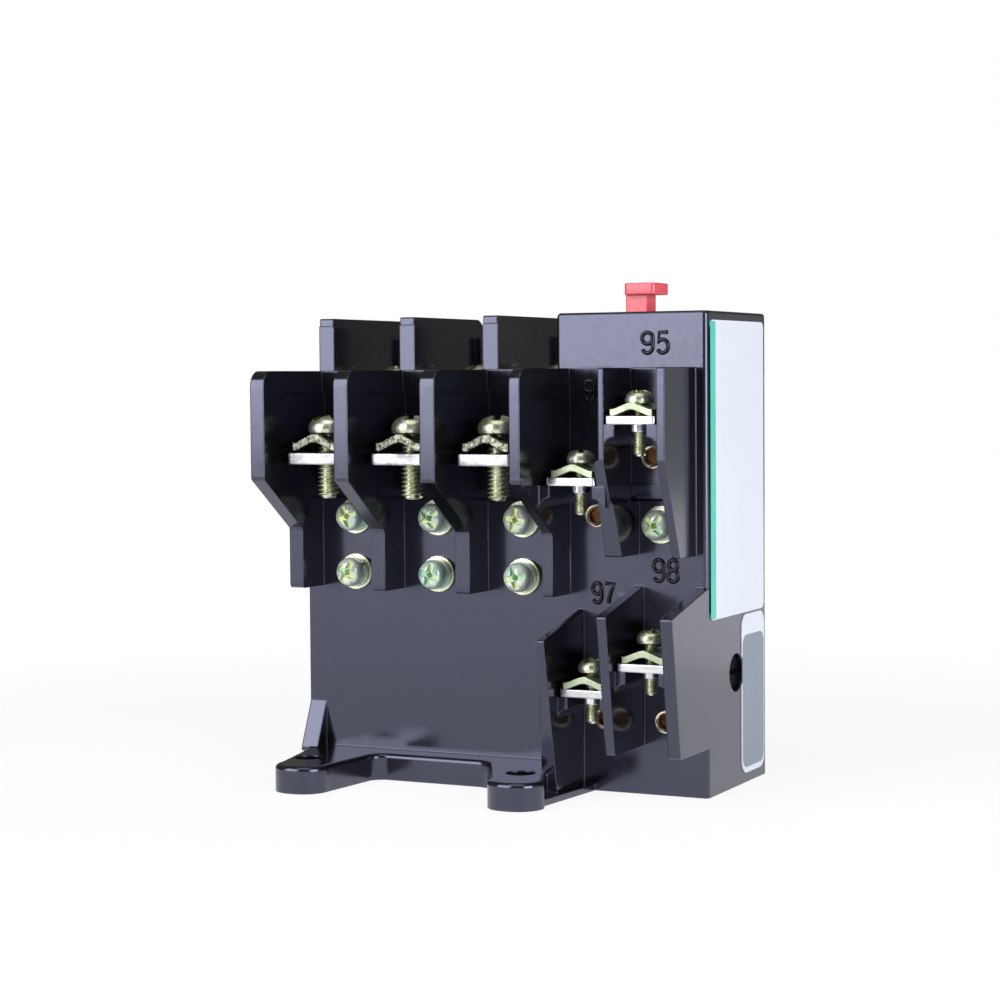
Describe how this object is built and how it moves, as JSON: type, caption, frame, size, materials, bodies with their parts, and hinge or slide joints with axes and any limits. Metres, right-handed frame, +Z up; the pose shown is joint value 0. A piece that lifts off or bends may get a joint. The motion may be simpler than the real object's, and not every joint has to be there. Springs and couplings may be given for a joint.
{
  "type": "thermal overload relay",
  "caption": "Three-pole thermal overload relay on a screw-down base, with a reset button and auxiliary contacts.",
  "frame": {"origin": "centre of the four mounting holes, on the underside of the base", "axes": "+Z up, out of the panel it is screwed to; -Y towards the load terminals; +X towards the control block"},
  "size_m": [0.0998, 0.0992, 0.1122],
  "materials": {
    "phenolic_black": "moulded, glossy",
    "cover_black": "matt",
    "tinned_plate": "tin plated",
    "zinc_screw": "zinc, yellow-green passivated",
    "spring_steel": "plain",
    "brass": "plain",
    "bimetal": "rolled",
    "heater_alloy": "rolled",
    "guide_plastic": "natural",
    "contact_silver": "silver",
    "contact_bronze": "phosphor bronze",
    "button_red": "satin",
    "dial_white": "satin",
    "label_white": "printed foil"
  },
  "bodies": {
    "relay_body": {"housing": "phenolic_black", "bottom_cover": "cover_black", "cover_screws": "zinc_screw", "load_terminal_screws": "zinc_screw", "load_saddle_washers": "zinc_screw", "line_terminal_screws": "zinc_screw", "line_saddle_washers": "zinc_screw", "wall_screws": "zinc_screw", "wall_spring_washers": "zinc_screw", "wall_flat_washers": "zinc_screw", "aux_terminal_screws": "zinc_screw", "aux_saddle_washers": "zinc_screw", "aux_rivets": "brass", "fixed_contacts": "contact_silver", "bimetal_rivets": "brass", "crank_pin": "spring_steel", "mechanism_frame": "tinned_plate", "rocker_pin": "spring_steel", "reset_spring": "spring_steel", "rating_label": "label_white", "side_tag": "label_white", "aux_terminal_95": "tinned_plate", "aux_terminal_96": "tinned_plate", "aux_terminal_97": "tinned_plate", "aux_terminal_98": "tinned_plate", "load_terminal_1": "tinned_plate", "line_terminal_1": "tinned_plate", "bimetal_strip_1": "bimetal", "heater_1": "heater_alloy", "load_terminal_2": "tinned_plate", "line_terminal_2": "tinned_plate", "bimetal_strip_2": "bimetal", "heater_2": "heater_alloy", "load_terminal_3": "tinned_plate", "line_terminal_3": "tinned_plate", "bimetal_strip_3": "bimetal", "heater_3": "heater_alloy"},
    "trip_slide": {"push_bar": "guide_plastic", "differential_bar": "guide_plastic", "differential_lever": "guide_plastic", "lever_pins": "spring_steel"},
    "crank": {"trip_crank": "guide_plastic", "compensating_strip": "bimetal"},
    "rocker": {"contact_rocker": "guide_plastic", "nc_contact_bridge": "contact_bronze", "no_contact_bridge": "contact_bronze"},
    "button": {"reset_button": "button_red"},
    "dial": {"current_dial": "dial_white", "setting_cam": "brass"},
    "reset_mode": {"mode_screw": "dial_white"}
  },
  "joints": [
    {"name": "reset_push", "type": "slide", "parent": "relay_body", "child": "button", "axis": [0, 0, -1], "range_m": [0, 0.003], "stiffness_N_per_m": 250, "springref_m": -0.002, "deforming": ["reset_spring"]},
    {"name": "dial_turn", "type": "hinge", "parent": "relay_body", "child": "dial", "pos_m": [0.052, 0.0066, 0.1], "axis": [0, 0, 1], "range_deg": [0, 270]},
    {"name": "mode_turn", "type": "hinge", "parent": "relay_body", "child": "reset_mode", "pos_m": [0.059, -0.0012, 0.0255], "axis": [1, 0, 0], "range_deg": [0, 90]},
    {"name": "trip_slide_move", "type": "slide", "parent": "relay_body", "child": "trip_slide", "axis": [1, 0, 0], "range_m": [0, 0.002], "stiffness_N_per_m": 150, "springref_m": -0.001},
    {"name": "crank_turn", "type": "hinge", "parent": "relay_body", "child": "crank", "pos_m": [0.0339, -0.009, 0.024], "axis": [0, 0, 1], "range_deg": [-7.8, 0]},
    {"name": "rocker_turn", "type": "hinge", "parent": "relay_body", "child": "rocker", "pos_m": [0.0522, -0.005, 0.043], "axis": [1, 0, 0], "range_deg": [-3.8, 0]}
  ],
  "couplings": [
    {"joint": "crank_turn", "follows": "trip_slide_move", "rad_per_m": -64.5},
    {"joint": "rocker_turn", "follows": "trip_slide_move", "rad_per_m": -30}
  ]
}
